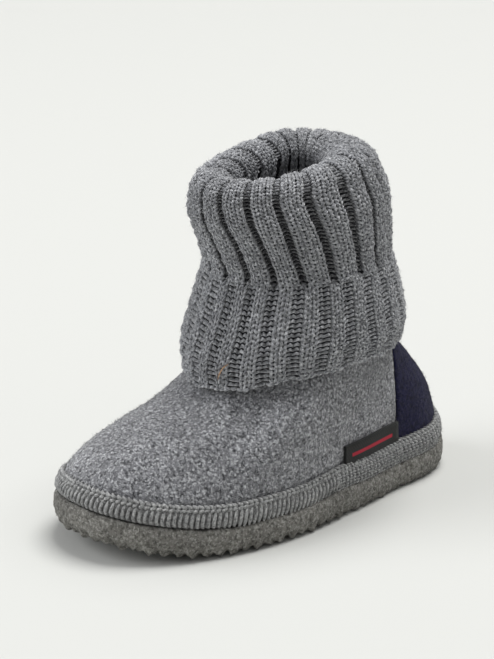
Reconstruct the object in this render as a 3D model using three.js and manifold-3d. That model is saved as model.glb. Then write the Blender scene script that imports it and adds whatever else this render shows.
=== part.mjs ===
// Felt hut slipper for a small left foot, with a knitted cuff folded down over the ankle.
// Millimetres. The toe points to -Y, the heel to +Y, the outer (lateral) side to +X and up is +Z.

import * as THREE from 'three';
import { mergeVertices } from 'three/addons/utils/BufferGeometryUtils.js';
import Module from 'manifold-3d';

const wasm = await Module();
wasm.setup();

// Clearance between pieces that touch
const gap = 0.3;

// Sole
const soleLength = 150;
const ballWidth = 67;
const heelWidth = 47;
const soleThickness = 9.5;
const soleBevel = 2.6;
const soleBulge = 1.0;
const toeSwing = 4.5;
const toeSpring = 7.5;
const heelLift = 2.2;
const archRise = 0.9;
const treadPitch = 4.6;
const treadGroove = 2.0;
const treadDepth = 1.6;
const grooveTopShare = 0.44;
const grooveFrontFlare = 1.4;
const grooveRearFlare = 1.0;

// Felt upper and what is sewn to it
const feltWall = 3.2;
const upperInset = 3.4;
const collarHeight = 55;
const randHeight = 6;
const randThickness = 1.9;
const insoleThickness = 4;
const panelThickness = 1.6;
const panelReach = 34;
const panelRake = 3;
const labelLength = 29;
const labelHeight = 7.5;
const labelThickness = 0.9;

// Ankle opening of the felt, and the knitted cuff around it
const ankleTowardsHeel = 17;
const ankleSide = -1;
const ankleDepth = 68;
const ankleWidth = 50;
const cuffDepth = 70;
const cuffWidth = 60;
const cuffTop = 120;
const cuffTopDip = 4.5;
const cuffHemBack = 53;
const cuffHemDrop = 6.5;
const cuffChange = 81;
const outerLayer = 4.6;
const innerLayer = 4.4;
const foldWidth = 15;
const foldWiderBack = 6;
const foldRise = 7;
const ribDepth = 1.7;
const stitchColumns = 100;

const around = 64;
const tau = 2 * Math.PI;

// Plan of the foot. Places are shares of the sole's length from the heel, widths are shares of the
// half width at the ball.
const plan = {
  lateral: { heelEnd: 0.20, waistAt: 0.40, waist: 0.87, ballAt: 0.64, toeRoundness: 2.25 },
  medial: { heelEnd: 0.20, waistAt: 0.42, waist: 0.82, ballAt: 0.72, toeRoundness: 2.15 },
};
const heelRoundness = 2.2;

// Sections of the upper from the rand to the collar. "Up" is the share of the rise, "in" the share of
// the way from the foot's outline to the ankle oval, for the back, the side, the toe corner and the toe.
const upperSections = [
  { up: 0.00, back: 0.00, side: 0.00, corner: 0.00, toe: 0.010 },
  { up: 0.12, back: 0.03, side: -0.06, corner: 0.06, toe: 0.050 },
  { up: 0.30, back: 0.13, side: -0.04, corner: 0.24, toe: 0.220 },
  { up: 0.46, back: 0.30, side: 0.06, corner: 0.50, toe: 0.510 },
  { up: 0.60, back: 0.50, side: 0.24, corner: 0.74, toe: 0.820 },
  { up: 0.74, back: 0.72, side: 0.50, corner: 0.89, toe: 0.955 },
  { up: 0.88, back: 0.90, side: 0.78, corner: 0.96, toe: 0.985 },
  { up: 1.00, back: 1.00, side: 1.00, corner: 1.00, toe: 1.000 },
];
// Where the rings of the upper lie, counted in sections from the sole; 1 is the top of the rand.
const upperRings = [0, 1, 1.5, 2, 2.5, 3, 3.5, 4, 5, 6, 7, 8];

// Outer face of the cuff from its hem to the fold. "Up" is the share of that height, the others are
// shares of the cuff's half depth and half width. The rib changes at ribChange.
const ribChange = 0.48;
const cuffSections = [
  { up: 0.00, front: 1.24, back: 1.07, side: 1.03 },
  { up: 0.12, front: 1.26, back: 1.10, side: 1.08 },
  { up: 0.26, front: 1.15, back: 1.06, side: 1.04 },
  { up: 0.46, front: 1.00, back: 0.96, side: 0.97 },
  { up: 0.50, front: 0.97, back: 0.93, side: 0.94 },
  { up: 0.68, front: 1.07, back: 0.92, side: 0.95 },
  { up: 0.87, front: 1.20, back: 0.88, side: 0.95 },
  { up: 1.00, front: 1.20, back: 0.75, side: 0.87 },
];

// Small helpers

function mix(a, b, share) {
  return a + (b - a) * share;
}

function smooth(share) {
  const s = Math.min(Math.max(share, 0), 1);
  return s * s * (3 - 2 * s);
}

// A closed mesh from rings with equal counts of points. Either the last ring joins the first, as on
// a wall, or strips from side to side close the two ends.
function loft(rings, wall) {
  const count = rings[0].length;
  const positions = rings.flat().flatMap((point) => [point.x, point.y, point.z]);
  const faces = [];
  const spans = wall ? rings.length : rings.length - 1;
  for (let k = 0; k < spans; k += 1) {
    const low = k * count;
    const high = ((k + 1) % rings.length) * count;
    for (let j = 0; j < count; j += 1) {
      const next = (j + 1) % count;
      faces.push([low + j, low + next, high + next], [low + j, high + next, high + j]);
    }
  }
  if (!wall) {
    const last = (rings.length - 1) * count;
    const half = count / 2;
    for (let j = 0; j < half; j += 1) {
      const across = (count - j) % count;
      const ahead = count - j - 1;
      if (j > 0) faces.push([j + 1, j, across], [last + j, last + j + 1, last + across]);
      if (j < half - 1) faces.push([j + 1, across, ahead], [last + j + 1, last + ahead, last + across]);
    }
  }
  return facing(positions, faces);
}

// Faces are turned outwards by the sign of the volume they close.
function facing(positions, faces) {
  const corner = (i) => new THREE.Vector3().fromArray(positions, 3 * i);
  let volume = 0;
  for (const [a, b, c] of faces) volume += corner(a).dot(corner(b).cross(corner(c)));
  const index = volume > 0 ? faces.flat() : faces.flatMap(([a, b, c]) => [a, c, b]);
  const geometry = new THREE.BufferGeometry();
  geometry.setAttribute('position', new THREE.Float32BufferAttribute(positions, 3));
  geometry.setIndex(index);
  return geometry;
}

function toSolid(geometry) {
  const bare = geometry.clone();
  bare.deleteAttribute('normal');
  bare.deleteAttribute('uv');
  const merged = mergeVertices(bare, 1e-4);
  return new wasm.Manifold(new wasm.Mesh({
    numProp: 3,
    vertProperties: new Float32Array(merged.attributes.position.array),
    triVerts: new Uint32Array(merged.index.array),
  }));
}

function toGeometry(solid) {
  const mesh = solid.getMesh();
  const geometry = new THREE.BufferGeometry();
  geometry.setAttribute('position', new THREE.BufferAttribute(mesh.vertProperties.slice(), 3));
  geometry.setIndex(new THREE.BufferAttribute(mesh.triVerts.slice(), 1));
  return geometry;
}

// A prism across the foot whose outline is drawn along Y and Z.
function prism(corners, from, to) {
  const shape = new THREE.Shape(corners.map(([y, z]) => new THREE.Vector2(y, z)));
  const geometry = new THREE.ExtrudeGeometry(shape, { depth: to - from, bevelEnabled: false });
  const turn = new THREE.Matrix4().makeBasis(
    new THREE.Vector3(0, 1, 0), new THREE.Vector3(0, 0, 1), new THREE.Vector3(1, 0, 0));
  geometry.applyMatrix4(turn);
  geometry.translate(from, 0, 0);
  return geometry;
}

// Plan of the foot

const halfBall = ballWidth / 2;
const halfHeel = heelWidth / 2;

function fromHeel(share) {
  return soleLength * (0.5 - share);
}

// Half width at a share of the length: round heel, waist, ball and round toe.
function halfWidth(share, side) {
  if (share <= side.heelEnd) {
    const back = 1 - share / side.heelEnd;
    return halfHeel * (1 - back ** heelRoundness) ** (1 / heelRoundness);
  }
  if (share >= side.ballAt) {
    const ahead = (share - side.ballAt) / (1 - side.ballAt);
    return halfBall * Math.max(1 - ahead ** side.toeRoundness, 0) ** (1 / side.toeRoundness);
  }
  const waist = halfBall * side.waist;
  if (share < side.waistAt) {
    const ahead = (share - side.heelEnd) / (side.waistAt - side.heelEnd);
    return mix(halfHeel, waist, mix(ahead, smooth(ahead), 0.4));
  }
  return mix(waist, halfBall, Math.sin((Math.PI / 2) * (share - side.waistAt) / (side.ballAt - side.waistAt)));
}

// One side of the outline from heel to toe, in equal steps of length.
function sidePoints(side, sign) {
  const fine = [];
  const steps = 400;
  for (let i = 0; i <= steps; i += 1) {
    const share = (1 - Math.cos((Math.PI * i) / steps)) / 2;
    const swing = toeSwing * smooth((share - 0.5) / 0.5);
    fine.push(new THREE.Vector3(sign * halfWidth(share, side) - swing, fromHeel(share), 0));
  }
  return new THREE.CatmullRomCurve3(fine).getSpacedPoints(around / 2);
}

const lateralSide = sidePoints(plan.lateral, 1);
const medialSide = sidePoints(plan.medial, -1);
const outline = [...lateralSide, ...medialSide.slice(1, -1).reverse()];

function outwardOf(points, j) {
  const before = points[(j + points.length - 1) % points.length];
  const after = points[(j + 1) % points.length];
  return new THREE.Vector3(before.y - after.y, after.x - before.x, 0).normalize();
}

function outlineAt(j, out) {
  return outline[j].clone().addScaledVector(outwardOf(outline, j), out);
}

// Height of the tread above the floor: round heel, flat seat, arch, flat ball and toe spring.
function lift(y) {
  const share = 0.5 - y / soleLength;
  if (share < 0.09) return heelLift * ((0.09 - share) / 0.09) ** 2;
  if (share > 0.32 && share < 0.54) return archRise * Math.sin((Math.PI * (share - 0.32)) / 0.22) ** 2;
  if (share > 0.72) return toeSpring * ((share - 0.72) / 0.28) ** 1.8;
  return 0;
}

// What is joined to the sole stands a gap above its top.
function seatAt(y) {
  return lift(y) + soleThickness + gap;
}

// The felt form: one grid of points from the sole's top to the collar, with its outward directions.

function ovalPoint(angle, centreY, front, back, side) {
  const along = Math.cos(angle) > 0 ? back : front;
  return new THREE.Vector3(ankleSide + side * Math.sin(angle), centreY + along * Math.cos(angle), 0);
}

function inwardShare(section, angle) {
  const degrees = Math.abs(THREE.MathUtils.radToDeg(angle > Math.PI ? tau - angle : angle));
  if (degrees < 50) return section.back;
  if (degrees < 90) return mix(section.back, section.side, smooth((degrees - 50) / 40));
  if (degrees < 140) return mix(section.side, section.corner, smooth((degrees - 90) / 50));
  return mix(section.corner, section.toe, smooth((degrees - 140) / 40));
}

function stationCurve(j) {
  const angle = (tau * j) / around;
  const base = outlineAt(j, -upperInset);
  const ankle = ovalPoint(angle, ankleTowardsHeel, ankleDepth / 2, ankleDepth / 2, ankleWidth / 2);
  const floor = seatAt(base.y);
  const points = [base.clone().setZ(floor)];
  for (const section of upperSections) {
    const point = base.clone().lerp(ankle, inwardShare(section, angle));
    points.push(point.setZ(mix(floor + randHeight, collarHeight, section.up)));
  }
  return new THREE.CatmullRomCurve3(points);
}

const stations = outline.map((_, j) => stationCurve(j));
const form = upperRings.map((ring) => stations.map((curve) => curve.getPoint(ring / upperSections.length)));
const formOut = form.map((ring, k) => ring.map((point, j) => {
  const level = k === 0 || k === form.length - 1;
  const along = new THREE.Vector3().subVectors(ring[(j + 1) % around], ring[(j + around - 1) % around]);
  const rise = new THREE.Vector3().subVectors(form[Math.min(k + 1, form.length - 1)][j], form[Math.max(k - 1, 0)][j]);
  const out = rise.cross(along);
  if (level) out.z = 0;
  return out.normalize();
}));

// A ring of the form moved out by a distance; the low strip is read between its first two rings.
function formRing(k, out) {
  return form[k].map((point, j) => point.clone().addScaledVector(formOut[k][j], out));
}

function stripRing(height, out) {
  const share = height / randHeight;
  return form[0].map((point, j) => {
    const moved = point.clone().lerp(form[1][j], share).addScaledVector(formOut[0][j], out);
    return moved.setZ(seatAt(moved.y) + height);
  });
}

function formRings(out, extra = 0) {
  const rings = form.map((_, k) => formRing(k, out));
  rings[0].forEach((point) => point.setZ(seatAt(point.y)));
  if (extra === 0) return rings;
  const lower = rings[0].map((point) => point.clone().setZ(point.z - extra));
  const upper = rings[rings.length - 1].map((point) => point.clone().setZ(point.z + extra));
  return [lower, ...rings, upper];
}

function formShell(outer, inner, extra = 0) {
  return toSolid(loft([...formRings(outer, extra), ...formRings(inner, extra).reverse()], true));
}

// Pieces

function buildOutsole() {
  const edges = [
    { height: 0, out: -soleBevel },
    { height: 0.16, out: -soleBulge },
    { height: 0.45, out: 0 },
    { height: 0.82, out: -0.3 * soleBulge },
    { height: 1, out: -soleBulge },
  ];
  const rings = edges.map((edge) => outline.map((_, j) => {
    const point = outlineAt(j, edge.out);
    return point.setZ(lift(point.y) + soleThickness * edge.height);
  }));
  return toGeometry(toSolid(loft(rings, false)).subtract(toSolid(treadComb())));
}

// One comb cuts all the grooves across the tread. Its back lies well below the sole.
function treadComb() {
  const below = -2 * treadDepth;
  const grooves = Math.floor(soleLength / treadPitch);
  const start = -(grooves * treadPitch) / 2;
  const corners = [[start - treadPitch, 3 * below], [start - treadPitch, below]];
  for (let i = 0; i <= grooves; i += 1) {
    const y = start + i * treadPitch;
    const half = treadGroove / 2;
    const topHalf = half * grooveTopShare;
    const top = lift(y) + treadDepth;
    corners.push([y - half - grooveFrontFlare, below], [y - half, lift(y)]);
    corners.push([y - topHalf, top], [y + topHalf, top]);
    corners.push([y + half, lift(y)], [y + half + grooveRearFlare, below]);
  }
  corners.push([-start + treadPitch, below], [-start + treadPitch, 3 * below]);
  return prism(corners, -ballWidth, ballWidth);
}

function buildInsole() {
  const out = -feltWall - gap;
  const rings = [
    stripRing(0, out),
    stripRing(0.75 * insoleThickness, out),
    stripRing(insoleThickness, out - 0.25 * insoleThickness),
  ];
  return loft(rings, false);
}

function seamAt(z) {
  return fromHeel(0) - panelReach + panelRake * (z / collarHeight);
}

function heelRegion(clearance) {
  const far = soleLength;
  return toSolid(prism([
    [seamAt(0) - clearance, 0],
    [far, 0],
    [far, cuffTop],
    [seamAt(cuffTop) - clearance, cuffTop],
  ], -ballWidth, ballWidth));
}

function buildUpper() {
  const over = 4 * gap;
  const recess = formShell(over, -panelThickness - gap, over).intersect(heelRegion(gap));
  return toGeometry(formShell(0, -feltWall).subtract(recess));
}

function buildHeelPanel() {
  return toGeometry(formShell(0, -panelThickness).intersect(heelRegion(0)));
}

function buildRand() {
  const near = gap;
  const far = gap + randThickness;
  return loft([
    stripRing(0, near),
    stripRing(0, 0.9 * far),
    stripRing(0.3 * randHeight, far),
    stripRing(0.75 * randHeight, 0.95 * far),
    stripRing(randHeight, 0.6 * far),
    stripRing(randHeight, near),
  ], true);
}

function buildSideLabel() {
  const low = soleThickness + randHeight + 2 * gap;
  const rear = seamAt(low) - gap;
  const patch = toSolid(prism([
    [rear - labelLength, low + lift(rear - labelLength)],
    [rear, low + lift(rear)],
    [rear, low + labelHeight],
    [rear - labelLength, low + labelHeight],
  ], 0, ballWidth));
  return toGeometry(formShell(gap + labelThickness, gap).intersect(patch));
}

// Knitted cuff

// How far a stitch column lies below the ribs: three knit and two purl above the change, two and
// two below it.
function ribRelief(column, up) {
  const sunk = up > ribChange ? column % 5 > 2 : column % 4 > 1;
  return sunk ? ribDepth : 0;
}

// The hem hangs lower over the instep, and the fold is lower there too.
function hemAt(angle) {
  return cuffHemBack - cuffHemDrop * ((1 - Math.cos(angle)) / 2) ** 5;
}

function foldAt(angle) {
  return cuffTop - foldRise - cuffTopDip * smooth((0.6 - Math.cos(angle)) / 1.5);
}

function cuffHeight(up, angle) {
  if (up < ribChange) return mix(hemAt(angle), cuffChange, up / ribChange);
  return mix(cuffChange, foldAt(angle), (up - ribChange) / (1 - ribChange));
}

// A ring of the cuff: the outer face at a share of the height, moved in and up. The fold is wider
// at the heel.
function cuffRing({ section, fold = 0, inward = 0, raise = 0, relief = 1, height }) {
  const points = [];
  for (let i = 0; i < stitchColumns; i += 1) {
    const angle = (tau * (i + 0.5)) / stitchColumns;
    const width = foldWidth + (foldWiderBack * (1 + Math.cos(angle))) / 2;
    const inset = fold * width + inward + relief * ribRelief(i, section.up);
    const half = cuffDepth / 2;
    const point = ovalPoint(angle, ankleTowardsHeel, section.front * half - inset,
      section.back * half - inset, (section.side * cuffWidth) / 2 - inset);
    const z = height ?? cuffHeight(section.up, angle);
    points.push(point.setZ(z + raise));
  }
  return points;
}

function buildKnitCuff() {
  const top = cuffSections[cuffSections.length - 1];
  const rings = cuffSections.map((section) => cuffRing({ section }));
  for (const degrees of [40, 90, 140]) {
    const turn = THREE.MathUtils.degToRad(degrees);
    const fold = (1 - Math.cos(turn)) / 2;
    rings.push(cuffRing({ section: top, fold, raise: foldRise * Math.sin(turn), relief: Math.cos(turn) }));
  }
  const low = cuffSections[3];
  const foot = collarHeight + gap;
  const bothLayers = outerLayer + innerLayer;
  const inside = [
    { down: 0, inset: { fold: 1 } },
    { down: 0.45, inset: { inward: 1.25 * bothLayers } },
    { down: 1, inset: { inward: bothLayers } },
  ];
  for (const step of inside) {
    const z = mix(cuffTop - foldRise - cuffTopDip, foot, step.down);
    rings.push(cuffRing({ section: step.down < 0.4 ? top : low, ...step.inset, relief: -0.5, height: z }));
  }
  rings.push(cuffRing({ section: low, inward: outerLayer, relief: 0, height: foot }));
  rings.push(cuffRing({ section: cuffSections[0], inward: outerLayer, relief: 0 }));
  const clear = toSolid(loft(formRings(gap, gap), false));
  return toGeometry(toSolid(loft(rings, true)).subtract(clear));
}

// Assembly

function piece(name, geometry, color, roughness) {
  const material = new THREE.MeshStandardMaterial({ color, roughness, metalness: 0 });
  const mesh = new THREE.Mesh(geometry, material);
  mesh.name = name;
  return mesh;
}

const slipper = new THREE.Group();
slipper.add(
  piece('outsole', buildOutsole(), 0x6b6a62, 0.95),
  piece('insole', buildInsole(), 0x77787b, 1),
  piece('upper', buildUpper(), 0x7a7c80, 1),
  piece('heel_panel', buildHeelPanel(), 0x2e2a4d, 1),
  piece('rand', buildRand(), 0x74766f, 1),
  piece('side_label', buildSideLabel(), 0x2a2c2b, 0.9),
  piece('knit_cuff', buildKnitCuff(), 0x6c6f73, 1),
);

// The origin is the middle of the box that holds the slipper, on the floor.
const box = new THREE.Box3().setFromObject(slipper);
const middle = box.getCenter(new THREE.Vector3());
slipper.position.set(-middle.x, -middle.y, -box.min.z);

export default slipper;
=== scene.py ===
# Looks of the felt hut slipper: felt, knitted cuff, whip-stitched rand and speckled sole, on the
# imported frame. Metres; the toe points to -Y, the outer side is +X. Sizes in the dictionaries are
# in millimetres, measured from the middle of the shoe's box on the floor.
import bpy
import math
import numpy as np
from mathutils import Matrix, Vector
from mathutils.bvhtree import BVHTree


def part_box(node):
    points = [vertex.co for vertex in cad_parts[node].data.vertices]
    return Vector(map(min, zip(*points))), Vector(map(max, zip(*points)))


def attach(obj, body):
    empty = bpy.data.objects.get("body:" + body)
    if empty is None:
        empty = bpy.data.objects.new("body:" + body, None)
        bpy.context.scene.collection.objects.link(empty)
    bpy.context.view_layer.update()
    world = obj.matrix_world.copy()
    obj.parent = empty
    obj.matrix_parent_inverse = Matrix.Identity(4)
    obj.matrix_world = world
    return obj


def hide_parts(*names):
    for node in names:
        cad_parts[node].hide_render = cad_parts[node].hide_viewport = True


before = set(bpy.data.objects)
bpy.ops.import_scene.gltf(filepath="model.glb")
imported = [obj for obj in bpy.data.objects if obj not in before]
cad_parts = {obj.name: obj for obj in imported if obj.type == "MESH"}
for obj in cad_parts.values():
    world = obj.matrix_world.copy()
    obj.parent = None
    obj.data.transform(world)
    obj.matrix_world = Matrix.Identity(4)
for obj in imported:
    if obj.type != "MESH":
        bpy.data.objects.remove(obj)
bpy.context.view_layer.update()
mm = 0.001
mergeWithin = 0.02 * mm


# Helpers

def selectOnly(piece):
    if bpy.context.mode != "OBJECT":
        bpy.ops.object.mode_set(mode="OBJECT")
    bpy.ops.object.select_all(action="DESELECT")
    piece.select_set(True)
    bpy.context.view_layer.objects.active = piece


def applyModifiers(piece):
    selectOnly(piece)
    for name in [modifier.name for modifier in piece.modifiers]:
        bpy.ops.object.modifier_apply(modifier=name)


def copyNode(nodeName, pieceName):  # a merged copy; the CAD node itself is left alone
    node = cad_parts[nodeName]
    piece = bpy.data.objects.new(pieceName, node.data.copy())
    bpy.context.scene.collection.objects.link(piece)
    piece.data.materials.clear()
    selectOnly(piece)
    bpy.ops.object.mode_set(mode="EDIT")
    bpy.ops.mesh.select_all(action="SELECT")
    bpy.ops.mesh.remove_doubles(threshold=mergeWithin)
    bpy.ops.object.mode_set(mode="OBJECT")
    bpy.ops.mesh.customdata_custom_splitnormals_clear()
    return piece


def readPoints(piece):
    points = np.empty(len(piece.data.vertices) * 3, dtype=np.float32)
    piece.data.vertices.foreach_get("co", points)
    return points.reshape(-1, 3).astype(float)


def readNormals(piece):
    normals = np.empty(len(piece.data.vertices) * 3, dtype=np.float32)
    piece.data.vertices.foreach_get("normal", normals)
    return normals.reshape(-1, 3).astype(float)


def movePoints(piece, points):
    piece.data.vertices.foreach_set("co", points.astype(np.float32).ravel())
    piece.data.update()


def shifted(piece, offset):
    movePoints(piece, readPoints(piece) + offset)


def lumps(piece, name, size, height):  # soft unevenness, as a clouds displacement
    texture = bpy.data.textures.new(name, type="CLOUDS")
    texture.noise_scale = size * mm
    texture.noise_depth = 2
    modifier = piece.modifiers.new(name, "DISPLACE")
    modifier.texture = texture
    modifier.texture_coords = "LOCAL"
    modifier.mid_level = 0.5
    modifier.strength = height * mm


def remeshed(piece, voxel, smoothing):
    remesh = piece.modifiers.new("remesh", "REMESH")
    remesh.mode = "VOXEL"
    remesh.voxel_size = voxel * mm
    remesh.use_smooth_shade = True
    smoother = piece.modifiers.new("smooth", "SMOOTH")
    smoother.iterations = smoothing
    smoother.factor = 0.5
    applyModifiers(piece)


def smoothShare(share):
    share = np.clip(share, 0, 1)
    return share * share * (3 - 2 * share)


def creased(piece, creases):  # soft troughs, or ridges where the depth is below nought
    points = readPoints(piece) / mm
    normals = readNormals(piece)
    for crease in creases:
        line = np.array(crease["points"], dtype=float)
        starts = line[:-1]
        runs = line[1:] - starts
        reach = np.full(len(points), 1e9)
        for start, run in zip(starts, runs):
            share = np.clip(((points - start) @ run) / (run @ run), 0, 1)
            reach = np.minimum(reach, np.linalg.norm(points - start - share[:, None] * run, axis=1))
        points -= normals * (crease["depth"] * np.exp(-(reach / crease["width"]) ** 2))[:, None]
    movePoints(piece, points * mm)


def finish(piece, material, slotName, *nodes):
    piece.data.materials.clear()
    piece.data.materials.append(material)
    selectOnly(piece)
    bpy.ops.object.shade_smooth()
    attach(piece, "root")
    if nodes:
        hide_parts(*nodes)
    print(piece.name, len(piece.data.polygons), "faces")


# Camera, light and floor

# The photo's viewing angle, from nearer by: the place in millimetres, the angles in degrees.
camera = {"place": (709.2, -616.5, 392.0), "azimuth": 49.24, "elevation": 19.485, "lens": 167.2}

cameraData = bpy.data.cameras.new("camera")
cameraData.lens = camera["lens"]
cameraData.sensor_width = 36
cameraData.clip_start = 0.01
cameraObject = bpy.data.objects.new("camera", cameraData)
cameraObject.location = Vector(camera["place"]) * mm
tilt = math.radians(90 - camera["elevation"])
cameraObject.rotation_euler = (tilt, 0, math.radians(camera["azimuth"]))
bpy.context.scene.collection.objects.link(cameraObject)
bpy.context.scene.camera = cameraObject
bpy.context.scene.view_settings.view_transform = "Standard"

# Places and sizes in metres, powers in watts.
lights = [
    {"name": "softTop", "place": (0.1, 0.7, 2.5), "size": 1.8, "power": 66.0, "tint": (1.0, 1.0, 0.99)},
    {"name": "softLeft", "place": (-1.5, -2.2, 1.7), "size": 2.6, "power": 58.0, "tint": (0.97, 0.98, 1.0)},
    {"name": "softRight", "place": (2.4, 0.6, 1.4), "size": 1.6, "power": 1.5, "tint": (1.0, 0.99, 0.97)},
]

for light in lights:
    data = bpy.data.lights.new(light["name"], type="AREA")
    data.shape = "DISK"
    data.size = light["size"]
    data.energy = light["power"]
    data.color = light["tint"]
    lamp = bpy.data.objects.new(light["name"], data)
    lamp.location = light["place"]
    towards = Vector((0, 0, 0.05)) - Vector(light["place"])
    lamp.rotation_euler = towards.to_track_quat("-Z", "Y").to_euler()
    bpy.context.scene.collection.objects.link(lamp)

sky = {"tint": (0.985, 0.99, 1.0), "strength": 0.29}

world = bpy.data.worlds.new("softWorld")
bpy.context.scene.world = world
world.use_nodes = True
world.node_tree.nodes["Background"].inputs["Color"].default_value = (*sky["tint"], 1)
world.node_tree.nodes["Background"].inputs["Strength"].default_value = sky["strength"]

# The reach is in metres.
floor = {"reach": 9.0, "tint": (0.622, 0.625, 0.602)}

bpy.ops.object.select_all(action="DESELECT")
bpy.ops.mesh.primitive_plane_add(size=2 * floor["reach"], location=(0, 0, 0))
floorObject = bpy.context.object
floorObject.name = "floor"
floorMaterial = bpy.data.materials.new("paleFloor")
floorMaterial.use_nodes = True
floorShader = floorMaterial.node_tree.nodes["Principled BSDF"]
floorShader.inputs["Base Color"].default_value = (*floor["tint"], 1)
floorShader.inputs["Roughness"].default_value = 1
floorShader.inputs["Specular IOR Level"].default_value = 0
floorObject.data.materials.append(floorMaterial)
print("camera, light and floor")


# Shader groups

def newGroup(name, inputs, outputs):
    group = bpy.data.node_groups.new(name, "ShaderNodeTree")
    for label, kind, value in inputs:
        socket = group.interface.new_socket(name=label, in_out="INPUT", socket_type=kind)
        if value is not None:
            socket.default_value = value
    for label, kind in outputs:
        group.interface.new_socket(name=label, in_out="OUTPUT", socket_type=kind)
    return group, group.nodes.new("NodeGroupInput"), group.nodes.new("NodeGroupOutput")


def noiseNode(tree, vector, scale, detail, roughness):
    node = tree.nodes.new("ShaderNodeTexNoise")
    node.inputs["Detail"].default_value = detail
    node.inputs["Roughness"].default_value = roughness
    tree.links.new(vector, node.inputs["Vector"])
    if isinstance(scale, (int, float)):
        node.inputs["Scale"].default_value = scale
    else:
        tree.links.new(scale, node.inputs["Scale"])
    return node.outputs["Fac"]


def mathNode(tree, operation, first, second=None):
    node = tree.nodes.new("ShaderNodeMath")
    node.operation = operation
    for index, value in enumerate((first, second)):
        if value is None:
            continue
        if isinstance(value, (int, float)):
            node.inputs[index].default_value = value
        else:
            tree.links.new(value, node.inputs[index])
    return node.outputs[0]


def rangeNode(tree, value, low, high, toLow=0.0, toHigh=1.0):
    node = tree.nodes.new("ShaderNodeMapRange")
    node.interpolation_type = "SMOOTHSTEP"
    tree.links.new(value, node.inputs["Value"])
    for name, number in (("From Min", low), ("From Max", high), ("To Min", toLow), ("To Max", toHigh)):
        node.inputs[name].default_value = number
    return node.outputs["Result"]


def mixNode(tree, share, first, second):
    node = tree.nodes.new("ShaderNodeMix")
    node.data_type = "RGBA"
    for name, value in (("Factor", share), ("A", first), ("B", second)):
        socket = [s for s in node.inputs if s.name == name and (name == "Factor" or s.type == "RGBA")][0]
        if isinstance(value, (int, float)):
            socket.default_value = value
        elif isinstance(value, tuple):
            socket.default_value = (*value, 1)
        else:
            tree.links.new(value, socket)
    return [s for s in node.outputs if s.type == "RGBA"][0]


def combed(tree, vector, amount, size):  # bends the coordinates a little, so flecks lie like fibres
    noise = tree.nodes.new("ShaderNodeTexNoise")
    noise.inputs["Scale"].default_value = size
    tree.links.new(vector, noise.inputs["Vector"])
    scale = tree.nodes.new("ShaderNodeVectorMath")
    scale.operation = "SCALE"
    scale.inputs["Scale"].default_value = amount
    tree.links.new(noise.outputs["Color"], scale.inputs[0])
    add = tree.nodes.new("ShaderNodeVectorMath")
    tree.links.new(vector, add.inputs[0])
    tree.links.new(scale.outputs[0], add.inputs[1])
    return add.outputs[0]


# Heather: a base colour with dark and pale wool flecks in it. Fleck Size is flecks to the metre.
heather, heatherIn, heatherOut = newGroup(
    "heather",
    [("Vector", "NodeSocketVector", None), ("Base", "NodeSocketColor", (0.25, 0.25, 0.25, 1)),
     ("Dark", "NodeSocketColor", (0.05, 0.05, 0.05, 1)), ("Pale", "NodeSocketColor", (0.6, 0.6, 0.6, 1)),
     ("Fleck Size", "NodeSocketFloat", 900.0), ("Fleck Amount", "NodeSocketFloat", 0.8)],
    [("Color", "NodeSocketColor"), ("Height", "NodeSocketFloat")])
fleck = {
    "bend": (0.0004, 700.0), "grain": (3.5, 0.7), "paleFiner": 1.37, "darkRange": (0.56, 0.36),
    "paleRange": (0.46, 0.68), "broad": (110.0, 2.5, 0.55), "broadRange": (0.3, 0.7, 0.0, 0.24),
    "darkInHeight": 0.8,
}
given = heatherIn.outputs
wool = combed(heather, given["Vector"], *fleck["bend"])
darkNoise = noiseNode(heather, wool, given["Fleck Size"], *fleck["grain"])
paleSize = mathNode(heather, "MULTIPLY", given["Fleck Size"], fleck["paleFiner"])
paleNoise = noiseNode(heather, wool, paleSize, *fleck["grain"])
broadNoise = noiseNode(heather, given["Vector"], *fleck["broad"])
darkFlecks = rangeNode(heather, darkNoise, *fleck["darkRange"])
darkShare = mathNode(heather, "MULTIPLY", darkFlecks, given["Fleck Amount"])
paleFlecks = rangeNode(heather, paleNoise, *fleck["paleRange"])
paleShare = mathNode(heather, "MULTIPLY", paleFlecks, given["Fleck Amount"])
darkened = mixNode(heather, darkShare, given["Base"], given["Dark"])
flecked = mixNode(heather, paleShare, darkened, given["Pale"])
broadShade = rangeNode(heather, broadNoise, *fleck["broadRange"])
heather.links.new(mixNode(heather, broadShade, flecked, given["Dark"]), heatherOut.inputs["Color"])
darkHeight = mathNode(heather, "MULTIPLY", darkNoise, fleck["darkInHeight"])
fibreHeight = mathNode(heather, "ADD", paleNoise, darkHeight)
heather.links.new(fibreHeight, heatherOut.inputs["Height"])

# Nap: fine fibre grain as a height.
nap, napIn, napOut = newGroup(
    "nap", [("Vector", "NodeSocketVector", None), ("Fibre Size", "NodeSocketFloat", 2600.0)],
    [("Height", "NodeSocketFloat")])
napGrain = {"bend": (0.0012, 700.0), "grain": (4.0, 0.7)}
napPlace = combed(nap, napIn.outputs["Vector"], *napGrain["bend"])
fine = noiseNode(nap, napPlace, napIn.outputs["Fibre Size"], *napGrain["grain"])
nap.links.new(fine, napOut.inputs["Height"])


def newMaterial(name, roughness, sheen=0.0, sheenRoughness=0.5):
    material = bpy.data.materials.new(name)
    material.use_nodes = True
    shader = material.node_tree.nodes["Principled BSDF"]
    shader.inputs["Roughness"].default_value = roughness
    shader.inputs["Specular IOR Level"].default_value = 0.25
    shader.inputs["Sheen Weight"].default_value = sheen
    shader.inputs["Sheen Roughness"].default_value = sheenRoughness
    return material, material.node_tree, shader


def placeGroup(tree, group, vector, **values):
    node = tree.nodes.new("ShaderNodeGroup")
    node.node_tree = group
    tree.links.new(vector, node.inputs["Vector"])
    for name, value in values.items():
        node.inputs[name.replace("_", " ")].default_value = value
    return node


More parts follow.
